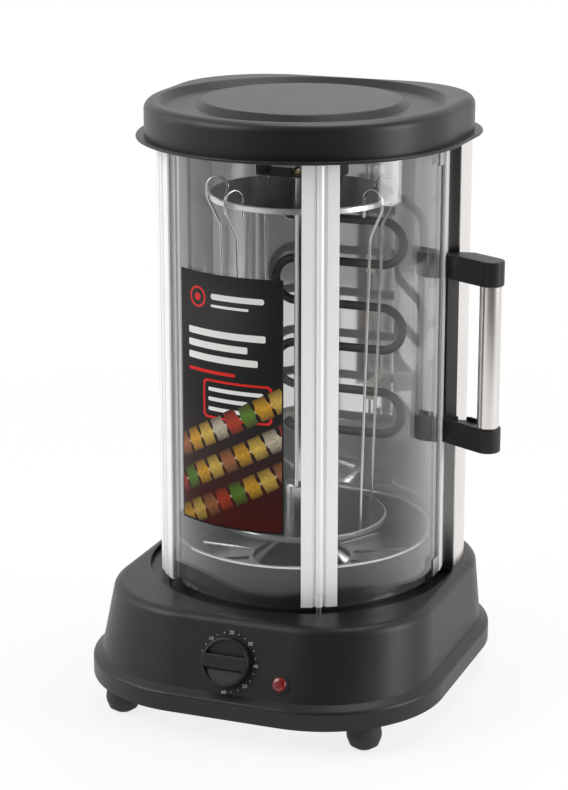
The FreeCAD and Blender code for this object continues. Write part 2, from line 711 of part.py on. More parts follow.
def cord_bush():
    """Flanged bush for the mains cord in the back wall; local Z points out."""
    neck, flange = gland_neck(), gland_neck() + 2 * v.sheet
    bush = turned([(v.inlet_bore, -6 * v.sheet), (neck, -6 * v.sheet), (neck, -2 * v.sheet),
                   (flange, -2 * v.sheet), (flange, -v.sheet), (neck, -v.sheet), (neck, 0),
                   (flange, 0), (flange, 1.5 * v.sheet), (neck, 8 * v.sheet),
                   (v.inlet_bore, 8 * v.sheet)])
    return bush


def terminal_block():
    """Three-way block that stands on the bottom plate near the cord inlet."""
    x, y = -v.inlet_across, v.skirt_back - v.foot_inset - 2 * v.motor_radius
    wide, deep, tall, bore = 8.0, 8.0, 13.0, 2.4
    body = block(x - 1.5 * wide, x + 1.5 * wide, y - deep, y + deep, plate_top, plate_top + tall)
    for number in (-1, 0, 1):
        body = body.cut(cylinder(bore, plate_top + tall * 0.6, plate_top + tall + 1,
                                 x + number * wide, y))
        body = body.cut(rod(bore, Vector(x + number * wide, y - deep - 1, plate_top + tall * 0.4),
                            Vector(x + number * wide, y + deep + 1, plate_top + tall * 0.4)))
    return body


def build_electrics():
    add_shape("gear_motor", gear_motor())
    machine_screws.extend(
        screw(place + UP * (floor_top + v.sheet), place + UP * (floor_under - v.sheet))
        for place in motor_screw_places())
    add_shape("cord_bush", cord_bush(), back_placement(-v.inlet_across, v.inlet_level))
    add_shape("terminal_block", terminal_block())


# ---- carousel --------------------------------------------------------------------------

def skewer(turn):
    """One wire skewer, hooked over the upper disc and standing in the lower one."""
    disc_top = upper_disc_level + v.sheet
    outside = v.upper_disc_radius + v.skewer_radius + v.hook_play
    arch = (outside - v.hook_ring) / 2
    rim_low = upper_disc_level - v.disc_rim
    points = [(v.hook_ring, rim_low - v.hook_tip), (v.hook_ring, disc_top + arch),
              (outside, disc_top + arch), (outside, rim_low - v.disc_rim),
              (v.hook_ring + v.hook_kink, rim_low - v.hook_slant),
              (v.foot_ring, v.lower_disc_level - v.disc_rim)]
    path = [Vector(radius, 0, height) for radius, height in points]
    wire = rounded_path(path, [arch - 0.01, arch - 0.01, v.hook_tip, 2 * v.hook_tip])
    wire.rotate(Vector(0, 0, 0), UP, turn - 90)
    return tube_along(wire, v.skewer_radius)


def drip_tray():
    """Round tray: foot ring, raised ribbed floor and a cone round the drive tube."""
    wall, rim = v.thin_sheet, 2 * v.thin_sheet
    foot = tray_radius - 2
    hole = v.drive_radius + v.drive_clearance
    low, floor = floor_top, v.tray_floor
    outside = [(hole, v.tray_cone_high), (v.tray_cone, floor), (tray_step, floor),
               (tray_step + 3, low), (foot, low), (tray_radius - rim, v.tray_high - rim),
               (tray_radius, v.tray_high - rim), (tray_radius, v.tray_high)]
    inside = [(tray_radius - rim - wall, v.tray_high), (foot - wall, low + wall),
              (tray_step + 3 + wall, low + wall), (tray_step + wall, floor + wall),
              (v.tray_cone + wall, floor + wall), (hole + wall, v.tray_cone_high)]
    tray = turned(outside + inside)
    inner, outer = v.tray_cone + 4, tray_step - 4
    for number in range(int(v.tray_ribs)):
        rib = rod(rim, Vector(inner, 0, floor + wall * 0.5), Vector(outer, 0, floor + wall * 0.5))
        rib = rib.common(block(0, outer + 5, -5, 5, floor + wall * 0.25, floor + 5))
        rib.rotate(Vector(0, 0, 0), UP, 360.0 * number / v.tray_ribs)
        tray = tray.fuse(rib)
    return tray


def build_carousel():
    turned_body("motor_shaft", [
        ("0", "base_top - recess_depth - sheet - motor_height * 0.6 + fit_gap"),
        ("shaft_radius", "base_top - recess_depth - sheet - motor_height * 0.6 + fit_gap"),
        ("shaft_radius", "spindle_foot - fit_gap * 2"), ("0", "spindle_foot - fit_gap * 2")])
    turned_body("spindle_bush", [
        ("shaft_radius + running_gap", "base_top - recess_depth - sheet + running_gap"),
        ("shaft_radius + running_gap + sheet * 2", "base_top - recess_depth - sheet + running_gap"),
        ("shaft_radius + running_gap + sheet * 2", "base_top - recess_depth"),
        ("drive_radius + 1", "base_top - recess_depth"),
        ("drive_radius + 1", "base_top - recess_depth + bush_height"),
        ("shaft_radius + running_gap", "base_top - recess_depth + bush_height")])
    turned_body("drive_tube", [
        ("shaft_radius + 0.02", "base_top - recess_depth + bush_height + running_gap * 2"),
        ("drive_radius", "base_top - recess_depth + bush_height + running_gap * 2"),
        ("drive_radius", "lower_disc_level"), ("spindle_radius + 0.02", "lower_disc_level"),
        ("spindle_radius + 0.02", "spindle_foot"), ("shaft_radius + 0.02", "spindle_foot")])
    spindle_top = "lid_top - bracket_drop + sheet * 4"
    turned_body("spindle", [
        ("0", "spindle_foot + running_gap"), ("spindle_radius", "spindle_foot + running_gap"),
        ("spindle_radius", spindle_top), ("spindle_radius - sheet", spindle_top + " + sheet"),
        ("0", spindle_top + " + sheet")])
    lower = turned_body("lower_disc", disc_section("lower_disc_radius", "lower_disc_level"))
    ring_of_holes(lower, "foot_ring", "skewer_hole", "skewer_count", v.skewer_phase)
    upper = turned_body("upper_disc", disc_section("upper_disc_radius", "lid_top - upper_disc_drop"))
    ring_of_holes(upper, "hook_ring", "skewer_hole", "skewer_count", v.skewer_phase)
    turned_body("lower_collar", [
        ("spindle_radius + 0.02", "lower_disc_level + sheet"),
        ("collar_radius", "lower_disc_level + sheet"),
        ("collar_radius", "lower_disc_level + sheet + collar_height - sheet"),
        ("collar_radius - sheet", "lower_disc_level + sheet + collar_height"),
        ("spindle_radius + 0.02", "lower_disc_level + sheet + collar_height")])
    for number in range(int(v.skewer_count)):
        turn = v.skewer_phase + 360.0 * number / v.skewer_count
        add_shape("skewer_%d" % (number + 1), skewer(turn))
    add_shape("drip_tray", drip_tray())


def disc_section(radius, level):
    """Flat disc with a turned-down rim, as formulas."""
    return [("spindle_radius + 0.02", level), (radius + " - sheet", level),
            (radius + " - sheet", level + " - disc_rim"), (radius, level + " - disc_rim"),
            (radius, level + " + sheet * 0.4"), (radius + " - sheet * 0.6", level + " + sheet"),
            ("spindle_radius + 0.02", level + " + sheet")]


# ---- panes and their edge profiles -----------------------------------------------------

def knuckle_spans():
    """Height ranges of the lower, middle and upper hinge barrels."""
    return [(v.pane_low, v.barrel_low - v.fit_gap), (v.barrel_low, door_high),
            (door_high + v.fit_gap, fixed_high)]


def hinge_leaf(seam, side, high, own):
    """Edge profile beside a hinge post; side +1 lies towards +X, own lists its barrels."""
    far = seam + side * arc_degrees(v.leaf_width)
    near = seam + side * arc_degrees(v.web_width)
    web_radius = v.profile_radius - v.web_drop
    foot = polar(hinge_ring, seam)
    leaf = sector(profile_inner, v.profile_radius, near, far, v.pane_low, high)
    leaf = leaf.fuse(sector(profile_inner, web_radius, seam, near, v.pane_low, high))
    leaf = leaf.cut(glass_slot(far, side, high))
    leaf = leaf.cut(cylinder(barrel_radius + v.fit_gap, 0, high + 1, foot.x, foot.y))
    for low, top in own:
        web = sector(profile_inner, web_radius, seam, near, low, top)
        leaf = leaf.fuse(web.fuse(cylinder(barrel_radius, low, top, foot.x, foot.y)))
    return leaf.cut(cylinder(v.post_radius + v.running_gap, 0, v.lid_top, foot.x, foot.y))


def glass_slot(far, side, high):
    """Slot for the glass in the far edge of a profile."""
    bottom = far - side * arc_degrees(v.slot_depth)
    return sector(glass_inner - v.slot_play, glass_radius + v.slot_play, bottom, far + side,
                  v.pane_low - 1, high + 1)


def end_profile(side, high):
    """Edge profile of a pane beside the rear housing."""
    edge = side * (v.housing_edge - arc_degrees(v.fit_gap))
    far = edge - side * arc_degrees(v.leaf_width)
    body = sector(profile_inner, v.profile_radius, edge, far, v.pane_low, high)
    return body.cut(glass_slot(far, -side, high))


def glass_ends():
    """Angles of a pane's two edges for each gap between profiles."""
    inset = arc_degrees(v.leaf_width - v.slot_depth + v.fit_gap)
    end = v.housing_edge - arc_degrees(v.fit_gap)
    return {"left_glass": (inset - end, -v.left_seam - inset),
            "front_glass": (inset - v.left_seam, v.right_seam - inset),
            "door_glass": (v.right_seam + inset, end - inset)}


def handle_screw_places():
    """Angle and heights of the two handle screws in the door's rear profile."""
    turn = v.housing_edge - arc_degrees(v.fit_gap + (v.leaf_width - v.slot_depth) / 2)
    return turn, [v.grip_low - v.arm_height / 2, v.grip_high + v.arm_height / 2]


def build_panes():
    low, middle, top = knuckle_spans()
    add_shape("front_profile_left", hinge_leaf(-v.left_seam, 1, fixed_high, [low, top]))
    add_shape("left_profile_front", hinge_leaf(-v.left_seam, -1, fixed_high, [middle]))
    add_shape("front_profile_right", hinge_leaf(v.right_seam, -1, fixed_high, [low, top]))
    add_shape("door_profile_front", hinge_leaf(v.right_seam, 1, door_high, [middle]))
    add_shape("left_profile_rear", end_profile(-1, fixed_high))
    turn, heights = handle_screw_places()
    rear = end_profile(1, door_high)
    for height in heights:
        rear = rear.cut(rod(v.screw_radius + v.running_gap, polar(profile_inner - 1, turn, height),
                            polar(v.profile_radius + 1, turn, height)))
    add_shape("door_profile_rear", rear)
    for label, (start, end) in glass_ends().items():
        high = door_high if label == "door_glass" else fixed_high
        add_shape(label, sector(glass_inner, glass_radius, start, end, v.pane_low, high))
    for label, seam in (("hinge_post_left", -v.left_seam), ("hinge_post_right", v.right_seam)):
        foot = polar(hinge_ring, seam)
        post = doc.addObject("Part::Cylinder", label)
        post.Label = label
        post.setExpression("Radius", "Sizes.post_radius")
        post.setExpression("Height", "Sizes.lid_top - Sizes.plate_drop - Sizes.base_top + Sizes.recess_depth"
                                     " + Sizes.sheet * 10")
        post.Placement = Placement(Vector(foot.x, foot.y, floor_top - 5 * v.sheet), Rotation())
        parts.append(post)
    nuts = []
    for seam in (-v.left_seam, v.right_seam):
        foot = polar(hinge_ring, seam)
        for level in (floor_under - 3 * v.sheet, top_plate_low + v.sheet):
            nuts.append(hexagon(2 * v.post_radius, level, level + 3 * v.sheet, foot).cut(
                cylinder(v.post_radius + 0.02, level - 1, level + 4 * v.sheet, foot.x, foot.y)))
    add_group("post_nuts", nuts)


def hexagon(half_width, low, high, place):
    """Hexagonal prism across its flats."""
    reach = half_width / math.cos(math.pi / 6)
    corners = [place + polar(reach, 60 * number) for number in range(6)]
    return prism(corners, low, high)


# ---- rear housing ----------------------------------------------------------------------

def cover_circles(grow=0.0):
    """Hull of the housing: its two round back corners, carried on forwards."""
    x = housing_side - v.housing_corner
    radius = v.housing_corner + grow
    return [(-x, 0, radius), (x, 0, radius), (x, v.housing_bend, radius), (-x, v.housing_bend, radius)]


def cover_front():
    """How far behind the axis the cover and the side posts start."""
    return housing_side * math.tan(math.radians(v.housing_edge - 90))


def cover():
    """Bright sheet round the back of the housing."""
    outer = hull_prism(cover_circles(), v.base_top, top_plate_low)
    inner = hull_prism(cover_circles(-v.thin_sheet), v.base_top - 1, top_plate_low + 1)
    reach = 2 * housing_side
    front = block(-reach, reach, -reach, cover_front(), v.base_top - 1, top_plate_low + 1)
    return outer.cut(inner).cut(front)


def side_post():
    """Right side post: front flange that the door closes on, and a leg inside the cover."""
    side = housing_side - v.thin_sheet - v.running_gap
    front = polar(flange_inner, v.housing_edge)
    corner = polar(side / math.sin(math.radians(v.housing_edge)), v.housing_edge)
    line = [front, corner, corner + Vector(0, v.post_side_leg, 0)]
    return bent_sheet(line, v.sheet, v.base_top, top_plate_low)


def mirror_line():
    """Inner bend line of the reflector, from its right front edge round the back."""
    behind = polar(1, v.housing_edge + 90) * (v.sheet + v.fit_gap)
    right = [polar(flange_inner, v.housing_edge) + behind,
             Vector(mirror_front_half, v.mirror_front_fold, 0),
             Vector(v.mirror_middle_half, v.mirror_middle_fold, 0),
             Vector(v.mirror_rear_half, v.mirror_back, 0)]
    return right + [Vector(-point.x, point.y, 0) for point in right[::-1]]


def reflector():
    """Bright folded sheet behind the heater, with two holes for the heater's ends."""
    line = mirror_line()[::-1]
    body = bent_sheet(line, v.thin_sheet, v.base_top, top_plate_low)
    for end in heater_ends():
        body = body.cut(rod(v.ceramic_radius - 2 * v.sheet + v.fit_gap, end,
                            end - Vector(0, v.heater_bend * 2, 0)))
    return body


def heater_levels():
    return [v.heater_high - number * v.heater_pitch for number in range(int(v.heater_rows))]


def heater_ends():
    """The two ends of the heater tube, behind the reflector."""
    levels = heater_levels()
    x = v.heater_half - v.heater_bend
    last = 1 if len(levels) % 2 else -1
    return [Vector(-x, v.heater_end, levels[0]), Vector(last * x, v.heater_end, levels[-1])]


def heater():
    """Serpentine tube: straight rows joined by half-circle bends in one upright plane."""
    first, last = heater_ends()
    bend = v.heater_pitch / 2
    points, radii = [first, Vector(first.x, v.heater_back, first.z)], [v.heater_bend]
    side = 1
    for upper, lower in zip(heater_levels(), heater_levels()[1:]):
        x = side * v.heater_half
        points += [Vector(x, v.heater_back, upper), Vector(x, v.heater_back, lower)]
        radii += [bend - 0.01, bend - 0.01]
        side = -side
    points += [Vector(last.x, v.heater_back, last.z), last]
    radii += [v.heater_bend]
    return tube_along(rounded_path(points, radii), v.heater_tube)


def heater_saddles():
    """Blocks that hold the tube off the reflector."""
    saddles = []
    levels = heater_levels()
    for level in (levels[1], levels[-2]):
        for side in (-1, 1):
            x = side * v.heater_half / 2
            body = block(x - 4, x + 4, v.heater_back, v.mirror_back - v.running_gap,
                         level - 2 * v.heater_tube, level + 2 * v.heater_tube)
            tube = rod(v.heater_tube + v.running_gap, Vector(x - 5, v.heater_back, level),
                       Vector(x + 5, v.heater_back, level))
            saddles.append(body.cut(tube))
    return saddles


def mirror_depth(across):
    """How far behind the axis the reflector's face lies at this distance from the middle."""
    if across <= v.mirror_rear_half:
        return v.mirror_back
    fall = (v.mirror_back - v.mirror_middle_fold) / (v.mirror_middle_half - v.mirror_rear_half)
    return v.mirror_back - (across - v.mirror_rear_half) * fall


def ceramic_bushes():
    """Flanged rings round the heater ends in the reflector."""
    bushes = []
    back = v.mirror_back + v.thin_sheet
    neck = v.ceramic_radius - 2 * v.sheet
    for end in heater_ends():
        seat_depth = mirror_depth(abs(end.x) + v.ceramic_radius) - v.running_gap
        face = Vector(end.x, seat_depth - 3 * v.sheet, end.z)
        seat = Vector(end.x, seat_depth, end.z)
        outer = rod(v.ceramic_radius, face, seat)
        inner = rod(neck, seat, Vector(end.x, back + v.sheet, end.z))
        bore = rod(v.heater_tube + v.running_gap, face - Vector(0, 5, 0), end + Vector(0, 5, 0))
        bushes.append(outer.fuse(inner).cut(bore))
    return bushes


def cover_screw_places():
    """Where the rear cover is screwed on, on its outer face."""
    levels = (v.base_top + v.cover_screw_inset, (v.base_top + top_plate_low) / 2,
              top_plate_low - v.cover_screw_inset)
    back = v.housing_bend + v.housing_corner
    return [Vector(side * v.cover_screw_across, back, level) for level in levels for side in (-1, 1)]


def build_housing():
    holes, screws = [], []
    behind = Vector(0, v.mirror_back + v.thin_sheet - v.housing_bend - v.housing_corner, 0)
    for place in cover_screw_places():
        inside = place - Vector(0, v.thin_sheet, 0)
        hole = rod(v.screw_radius + v.running_gap, place + behind * 0.9, place + Vector(0, 5, 0))
        holes.append(hole)
        threaded_pillars.append(rod(v.pillar_radius, place + behind, inside).cut(hole))
        screws.append(screw(place + behind * 0.8, place))
    add_shape("rear_cover", cover().cut(Part.makeCompound(holes)))
    add_group("cover_screws", screws)
    right = side_post()
    add_shape("side_post_right", right)
    add_shape("side_post_left", mirrored(right))
    add_shape("reflector", reflector())
    add_shape("heater", heater())
    add_group("heater_ceramics", heater_saddles() + ceramic_bushes())


# ---- lid -------------------------------------------------------------------------------

def lid_circles(grow=0.0):
    """Ring of circles whose hull is the lid's outline: the cylinder and the rear housing."""
    x = housing_side - v.housing_corner
    corner = v.housing_corner + v.fit_gap + v.sheet
    ring = [(0.0, 0.0, lid_radius), (x, v.housing_bend, corner), (-x, v.housing_bend, corner)]
    return grown(ring, grow)


def groove(grow):
    """Ring groove in the lid's top; grow widens it by the sheet for its underside."""
    top, floor = v.lid_top + 1, v.lid_top - v.groove_depth - grow
    lift = v.groove_slope / v.groove_depth
    outer, inner = crest_radius + grow, plateau_radius - grow
    return turned([(outer + lift, top), (outer - v.groove_slope, floor),
                   (inner + v.groove_slope, floor), (inner - lift, top)])


def lid():
    """Pressed lid with a rounded shoulder, a ring groove and a rolled flange."""
    outer = hull_prism(lid_circles(), lid_low, v.lid_top)
    outer = outer.makeFillet(v.lid_round, edges_at(outer, v.lid_top))
    flange = hull_prism(lid_circles(v.lid_flange), lid_low, lid_low + v.flange_thick)
    roll = edges_at(flange, lid_low) + edges_at(flange, lid_low + v.flange_thick)
    flange = flange.makeFillet(v.flange_thick * 0.45, roll)
    inside = hull_prism(lid_circles(-v.sheet), lid_low - 1, v.lid_top - v.sheet)
    inside = inside.makeFillet(v.lid_round - v.sheet, edges_at(inside, v.lid_top - v.sheet))
    outer = outer.cut(groove(0.0))
    soft = [edge for edge in edges_at(outer, v.lid_top) if hasattr(edge.Curve, "Radius")
            and edge.Curve.Radius < crest_radius + 2]
    outer = outer.makeFillet(v.groove_depth * 0.4, soft)
    return outer.fuse(flange).cut(inside.cut(groove(v.sheet)))


def top_plate():
    """Plate under the lid that holds the posts, the housing and the upper bearing."""
    plate = hull_prism(lid_circles(-v.sheet - v.fit_gap), top_plate_low, top_plate_low + v.sheet)
    holes = []
    for seam in (-v.left_seam, v.right_seam):
        foot = polar(hinge_ring, seam)
        holes.append(cylinder(v.post_radius + v.running_gap, top_plate_low - 1,
                              top_plate_low + 2 * v.sheet, foot.x, foot.y))
    for place in bracket_screw_places() + spacer_places():
        holes.append(cylinder(v.screw_radius + v.running_gap, top_plate_low - 1,
                              top_plate_low + 2 * v.sheet, place.x, place.y))
    return plate.cut(Part.makeCompound(holes))


def bracket_screw_places():
    reach = v.bracket_half + v.bracket_foot / 2
    return [Vector(side * reach, 0, 0) for side in (-1, 1)]


def spacer_places():
    """Spacers between top plate and lid, under the ring groove."""
    ring = (plateau_radius + crest_radius) / 2
    return [polar(ring, turn) for turn in (45, 135, 225, 315)]


def bearing_bracket():
    """Hat-shaped strip that hangs from the top plate and holds the upper bush."""
    half, foot = v.bracket_half, v.bracket_foot
    low, high = bracket_level, top_plate_low
    outline = [(-half - foot, high), (-half - foot, high - v.sheet), (-half, high - v.sheet),
               (-half, low), (half, low), (half, high - v.sheet), (half + foot, high - v.sheet),
               (half + foot, high), (half - v.sheet, high), (half - v.sheet, low + v.sheet),
               (v.sheet - half, low + v.sheet), (v.sheet - half, high)]
    side = v.bracket_width / 2
    face = polygon_face([Vector(x, -side, z) for x, z in outline])
    body = face.extrude(Vector(0, 2 * side, 0))
    body = body.cut(cylinder(upper_bush_neck() + v.running_gap, low - 1, low + 2 * v.sheet))
    for place in bracket_screw_places():
        body = body.cut(cylinder(v.screw_radius + v.running_gap, high - 2 * v.sheet, high + 1,
                                 place.x, place.y))
    return body


def upper_bush_neck():
    return v.spindle_radius + v.running_gap + 1.5 * v.sheet


def build_top():
    add_shape("lid", lid())
    add_shape("top_plate", top_plate())
    add_shape("bearing_bracket", bearing_bracket())
    bore, level = "spindle_radius + running_gap", "lid_top - bracket_drop"
    turned_body("upper_bush", [
        (bore, level + " - sheet * 1.5"), (bore + " + sheet * 2.5", level + " - sheet * 1.5"),
        (bore + " + sheet * 2.5", level), (bore + " + sheet * 1.5", level),
        (bore + " + sheet * 1.5", level + " + sheet * 3"), (bore, level + " + sheet * 3")])
    machine_screws.extend(
        screw(place + UP * (top_plate_low + 4 * v.sheet), place + UP * (top_plate_low - v.sheet))
        for place in bracket_screw_places())
    underside = v.lid_top - v.groove_depth - v.sheet
    machine_screws.extend(screw(p + UP * (underside - 2 * v.sheet), p + UP * top_plate_low)
                          for p in spacer_places())
    threaded_pillars.extend(pillar(p, plate_top, floor_under, plate_top + 6 * v.screw_radius)
                            for p in pillar_places())
    threaded_pillars.extend(pillar(p, top_plate_low + v.sheet, underside, underside - v.sheet)
                            for p in spacer_places())


def pillar(place, low, high, thread_end):
    """Upright pillar with a threaded hole from below."""
    hole = cylinder(v.screw_radius + v.running_gap, low - 1, thread_end, place.x, place.y)
    return cylinder(v.pillar_radius, low, high, place.x, place.y).cut(hole)


# ---- handle ----------------------------------------------------------------------------

def handle_frame():
    """Root point on the door's face, the arms' direction and their sideways direction."""
    root = polar(v.profile_radius, v.handle_root)
    out = polar(1, v.handle_turn)
    return root, out, Vector(-out.y, out.x, 0)


def handle_arm(low, high, socket_low, socket_high):
    """Black arm from the door's rear profile to the bar, rounded at its outer end."""
    root, out, side = handle_frame()
    half = v.handle_width / 2 + 1
    centre = root + out * v.handle_reach
    start = root - out * v.handle_width
    arm = prism([start - side * half, centre - side * half, centre + side * half,
                 start + side * half], low, high)
    arm = arm.fuse(cylinder(half, low, high, centre.x, centre.y))
    arm = trimmed_to_door(arm, low, high)
    arm = arm.makeFillet(1.2, [edge for edge in edges_at(arm, low) + edges_at(arm, high)
                               if edge.CenterOfMass.distanceToPoint(Vector(0, 0, edge.CenterOfMass.z))
                               > v.profile_radius + 6])
    arm = arm.cut(cylinder(v.grip_radius + v.running_gap, socket_low, socket_high,
                           centre.x, centre.y))
    start = root + out * (v.back_plate_depth + v.sheet)
    end = centre - out * (v.grip_radius + v.sheet)
    wide = half - 2 * v.sheet
    floor = v.arm_pocket if low < v.grip_low else -v.arm_pocket
    face = high if low < v.grip_low else low
    pocket = prism([start - side * wide, end - side * wide, end + side * wide, start + side * wide],
                   min(face, face - floor), max(face, face - floor))
    arm = arm.cut(pocket)
    turn, heights = handle_screw_places()
    middle = (low + high) / 2
    return arm.cut(rod(v.screw_radius + v.running_gap, polar(v.profile_radius - 5, turn, middle),
                       polar(v.profile_radius + 12, turn, middle)))


def trimmed_to_door(solid, low, high):
    """Cut a handle piece back to the profile's face and clear of the rear housing."""
    body = solid.cut(cylinder(v.profile_radius + v.running_gap, low - 1, high + 1))
    edge = v.housing_edge - arc_degrees(3 * v.fit_gap)
    far = 2 * v.profile_radius
    behind = prism([Vector(0, 0, 0), polar(far, edge), polar(far, edge + 60)], low - 1, high + 1)
    return body.cut(behind)


def build_handle():
    root, out, side = handle_frame()
    low, high = v.grip_low - v.arm_height, v.grip_high + v.arm_height
    add_shape("handle_arm_upper", handle_arm(v.grip_high, high, v.grip_high - 1,
                                             v.grip_high + v.grip_socket + v.running_gap))
    add_shape("handle_arm_lower", handle_arm(low, v.grip_low, v.grip_low - v.grip_socket
                                             - v.running_gap, v.grip_low + 1))
    half = v.handle_width / 2
    start, end = root - out * v.handle_width, root + out * v.back_plate_depth
    plate = prism([start - side * half, end - side * half, end + side * half,
                   start + side * half], v.grip_low + v.running_gap, v.grip_high - v.running_gap)
    add_shape("handle_back_plate", trimmed_to_door(plate, v.grip_low, v.grip_high))
    centre = root + out * v.handle_reach
    bar = doc.addObject("Part::Cylinder", "handle_bar")
    bar.Label = "handle_bar"
    bar.setExpression("Radius", "Sizes.grip_radius")
    bar.setExpression("Height", "Sizes.grip_high - Sizes.grip_low + Sizes.grip_socket * 2")
    bar.Placement = Placement(Vector(centre.x, centre.y, v.grip_low - v.grip_socket), Rotation())
    parts.append(bar)
    turn, heights = handle_screw_places()
    add_group("handle_screws", [
        screw(polar(v.profile_radius + 10, turn, level),
              polar(profile_inner - 2 * v.running_gap, turn, level))
        for level in heights])
    clips = []
    inner, size = glass_radius + v.running_gap, v.leaf_width
    edge = v.housing_edge - arc_degrees(v.fit_gap + v.leaf_width + v.fit_gap)
    for level in (v.pane_low, door_high - size):
        clips.append(sector(inner, inner + v.thin_sheet, edge - arc_degrees(size), edge,
                            level, level + size))
    add_group("door_corner_clips", clips)


# ---- build, check and write ------------------------------------------------------------

build_base()
build_controls()
build_electrics()
build_carousel()
build_panes()
build_housing()
build_top()
build_handle()
add_group("machine_screws", machine_screws)
add_group("threaded_pillars", threaded_pillars)
doc.recompute()

for item in doc.Objects:
    if "Invalid" in item.State or "Error" in item.State:
        raise RuntimeError("failed object: " + item.Label)
for item in parts:
    if item.Shape.isNull() or not item.Shape.isValid():
        raise RuntimeError("bad shape: " + item.Label)

os.makedirs("parts", exist_ok=True)
for item in parts:
    item.Shape.exportStep(os.path.join("parts", item.Label + ".step"))
print("wrote", len(parts), "sub-parts")
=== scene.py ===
"""Looks of the vertical electric skewer grill: finishes, dial marks, label, camera and studio."""
import bmesh
import bpy
from math import atan2, cos, pi, radians, sin
from mathutils import Matrix, Vector


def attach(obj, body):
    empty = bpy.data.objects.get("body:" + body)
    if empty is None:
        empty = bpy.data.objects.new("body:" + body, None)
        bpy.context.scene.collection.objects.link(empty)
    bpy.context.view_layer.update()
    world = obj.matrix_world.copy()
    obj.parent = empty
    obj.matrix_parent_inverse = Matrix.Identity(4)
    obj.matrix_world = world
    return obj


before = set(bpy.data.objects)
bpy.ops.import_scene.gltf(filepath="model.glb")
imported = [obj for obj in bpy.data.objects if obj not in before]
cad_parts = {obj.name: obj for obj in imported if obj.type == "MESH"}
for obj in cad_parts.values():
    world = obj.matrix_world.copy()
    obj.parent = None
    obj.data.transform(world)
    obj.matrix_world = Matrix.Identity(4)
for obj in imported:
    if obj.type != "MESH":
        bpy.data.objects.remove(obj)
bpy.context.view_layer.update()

# ---- sizes in metres, angles in degrees round the axis from the front (-Y) towards +X ----

PANE_RADIUS = 0.1105
LABEL_LEFT, LABEL_RIGHT = -33.3, 13.6
LABEL_LOW, LABEL_HIGH = 0.151, 0.345
LABEL_THICK = 0.00012
# the print on the label is laid out in millimetres from the label's middle
LABEL_HALF = radians(LABEL_RIGHT - LABEL_LEFT) * PANE_RADIUS * 500
LABEL_CENTRE = radians(LABEL_RIGHT + LABEL_LEFT) * PANE_RADIUS * 500
LABEL_MIDDLE = (LABEL_LOW + LABEL_HIGH) * 500
LABEL_TALL = (LABEL_HIGH - LABEL_LOW) * 500
ROW_SLANT, ROW_PITCH, PIECE_PITCH = 28, 25.0, 13.5
# metres again
UPPER_DISC_RIM, LOWER_DISC_RIM = 0.0694, 0.0654
TRAY_WALL_RADIUS, TRAY_WALL_TOP = 0.0996, 0.1208
PANEL_LEAN = atan2(21, 52)
KNOB_PLACE = Vector((-0.0018, -0.150358, 0.0614))
MARK_RADIUS = 0.0222
MARK_THICK = 0.00008
FIRST_MARK, MARK_STEP = -45.0, 45.0
NUMBER_SIZE, DOT_RADIUS = 0.0038, 0.0004
CAMERA_PLACE, CAMERA_LENS = (0.632, -1.685, 0.745), 109.6
CAMERA_PITCH, CAMERA_TURN = 73.96, 21.0
FLOOR_RADIUS, FLOOR_NEAR, FLOOR_FADE = 1.1, 0.25, 0.75
WORLD_STRENGTH = 0.45
LIGHTS_AIM = (0, 0, 0.25)
LIGHTS = (("key", (-1.5, -1.3, 1.7), (1.2, 1.2), 24),
          ("left strip", (-1.45, -0.20, 0.90), (0.5, 1.3), 3),
          ("right strip", (1.60, 0.05, 0.60), (0.6, 1.1), 13),
          ("above", (0.1, 0.5, 1.9), (1.0, 1.0), 14))


def polar(radius, degrees, height=0.0):
    """Point at this radius and angle round the axis."""
    return Vector((radius * sin(radians(degrees)), -radius * cos(radians(degrees)), height))


# ---- shader maths ----------------------------------------------------------------------

class Value:
    """A number socket whose operators add Math nodes."""

    def __init__(self, maker, socket):
        self.maker = maker
        self.socket = socket

    def with_other(self, operation, first, second):
        node = self.maker.add("ShaderNodeMath", {"operation": operation}, {0: first, 1: second})
        return Value(self.maker, node.outputs[0])

    def __add__(self, other):
        return self.with_other("ADD", self, other)

    __radd__ = __add__

    def __sub__(self, other):
        return self.with_other("SUBTRACT", self, other)

    def __rsub__(self, other):
        return self.with_other("SUBTRACT", other, self)

    def __mul__(self, other):
        return self.with_other("MULTIPLY", self, other)

    __rmul__ = __mul__

    def __truediv__(self, other):
        return self.with_other("DIVIDE", self, other)

    def __lt__(self, other):
        return self.with_other("LESS_THAN", self, other)

    def __gt__(self, other):
        return self.with_other("GREATER_THAN", self, other)

    def one(self, operation, other=0.0):
        """The value after a Math node of this operation."""
        return self.with_other(operation, self, other)

    def least(self, other):
        return self.with_other("MINIMUM", self, other)

    def most(self, other):
        return self.with_other("MAXIMUM", self, other)


